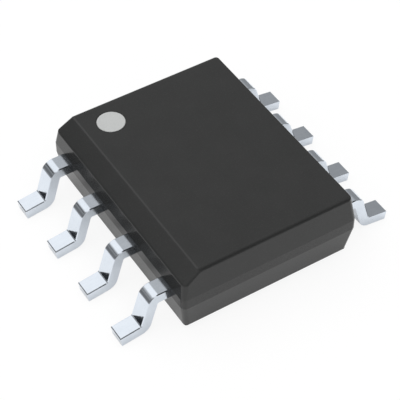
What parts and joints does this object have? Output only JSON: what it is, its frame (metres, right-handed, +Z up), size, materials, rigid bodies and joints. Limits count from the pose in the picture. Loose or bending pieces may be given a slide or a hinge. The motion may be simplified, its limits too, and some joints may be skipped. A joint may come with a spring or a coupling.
{
  "type": "transceiver chip",
  "caption": "Black moulded small-outline chip with formed gull-wing leads along both long sides, a bevelled top edge and a pale round mark beside its first lead.",
  "frame": {"origin": "middle of the package, on the plane of the board that the toes stand on", "axes": "+X towards the row of leads 5 to 8, +Y towards the end with the pin one mark, +Z up"},
  "size_m": [0.0062, 0.005, 0.0016],
  "materials": {
    "mould_compound": "fine matt moulded epoxy",
    "tin_plated_lead": "bright tin plate",
    "marking_ink": "matt pale grey ink",
    "bare_copper": "bare copper alloy strip",
    "silver_epoxy": "silver filled epoxy",
    "silicon": "polished silicon",
    "gold_wire": "drawn gold"
  },
  "bodies": {
    "root": {"bond_wire_1": "gold_wire", "bond_wire_2": "gold_wire", "bond_wire_3": "gold_wire", "bond_wire_4": "gold_wire", "bond_wire_5": "gold_wire", "bond_wire_6": "gold_wire", "bond_wire_7": "gold_wire", "bond_wire_8": "gold_wire", "die_attach": "silver_epoxy", "die_pad": "bare_copper", "lead_1": "tin_plated_lead", "lead_2": "tin_plated_lead", "lead_3": "tin_plated_lead", "lead_4": "tin_plated_lead", "lead_5": "tin_plated_lead", "lead_6": "tin_plated_lead", "lead_7": "tin_plated_lead", "lead_8": "tin_plated_lead", "moulded_body": "mould_compound", "pin_one_mark": "marking_ink", "silicon_die": "silicon"}
  },
  "joints": []
}
